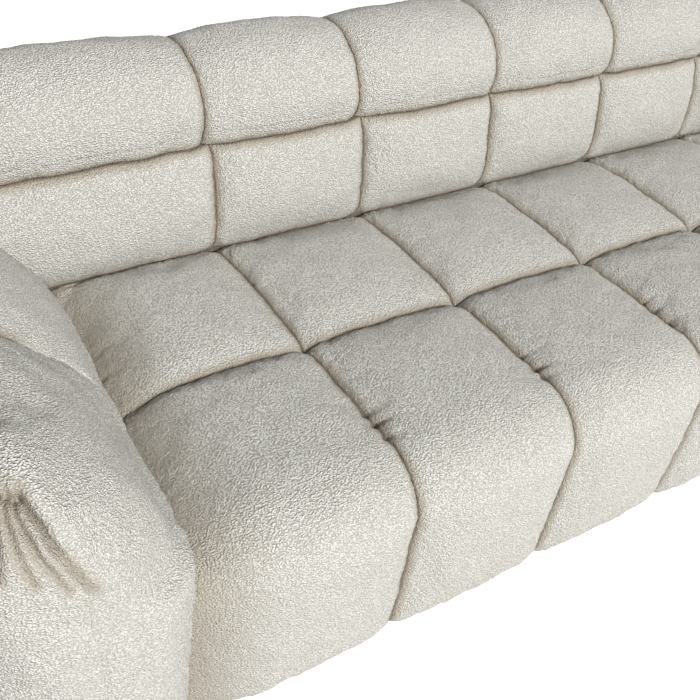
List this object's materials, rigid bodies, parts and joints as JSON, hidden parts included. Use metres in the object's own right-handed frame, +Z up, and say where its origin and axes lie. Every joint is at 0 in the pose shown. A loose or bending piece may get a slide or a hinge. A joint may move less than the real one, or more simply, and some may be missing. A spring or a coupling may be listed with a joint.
{
  "type": "sofa",
  "caption": "Long low sofa with biscuit-tufted seat, back and rounded arms in looped ivory boucle, on a sprung wooden frame with short recessed feet.",
  "frame": {"origin": "on the floor, under the middle of the sofa's box", "axes": "+X along the sofa to the right as seen from the front, +Z up, the front faces -Y"},
  "size_m": [2.44, 0.8993, 0.7196],
  "materials": {
    "boucle": "looped ivory boucle, matt",
    "foam": "open-cell foam, matt",
    "felt": "needled felt",
    "spring_wire": "drawn spring wire",
    "webbing": "woven elastic webbing",
    "frame_wood": "sawn softwood",
    "plywood": "raw plywood",
    "dust_cloth": "thin non-woven cloth",
    "foot_wood": "stained, satin lacquer",
    "stud_steel": "zinc plated"
  },
  "bodies": {
    "root": {"seat_rear_pads": "boucle", "seat_front_pads": "boucle", "back_lower_pads": "boucle", "back_upper_pads": "boucle", "left_arm_pads": "boucle", "right_arm_pads": "boucle", "back_outer_panel": "boucle", "left_back_end_panel": "boucle", "right_back_end_panel": "boucle", "seat_foam": "foam", "front_foam": "foam", "back_foam": "foam", "left_arm_foam": "foam", "right_arm_foam": "foam", "seat_decking": "felt", "seat_springs": "spring_wire", "spring_clips": "spring_wire", "back_webbing": "webbing", "front_rail": "frame_wood", "back_rail": "frame_wood", "left_end_rail": "frame_wood", "right_end_rail": "frame_wood", "left_cross_rail": "frame_wood", "middle_cross_rail": "frame_wood", "right_cross_rail": "frame_wood", "corner_blocks": "frame_wood", "left_arm_base": "plywood", "right_arm_base": "plywood", "left_arm_front_board": "plywood", "right_arm_front_board": "plywood", "left_arm_rear_board": "plywood", "right_arm_rear_board": "plywood", "left_arm_top_rail": "frame_wood", "right_arm_top_rail": "frame_wood", "left_arm_outer_rail": "frame_wood", "right_arm_outer_rail": "frame_wood", "left_end_post": "plywood", "left_post": "plywood", "middle_post": "plywood", "right_post": "plywood", "right_end_post": "plywood", "back_top_rail": "frame_wood", "dust_cover": "dust_cloth", "left_front_foot": "foot_wood", "left_rear_foot": "foot_wood", "middle_front_foot": "foot_wood", "middle_rear_foot": "foot_wood", "right_front_foot": "foot_wood", "right_rear_foot": "foot_wood", "foot_studs": "stud_steel"}
  },
  "joints": []
}
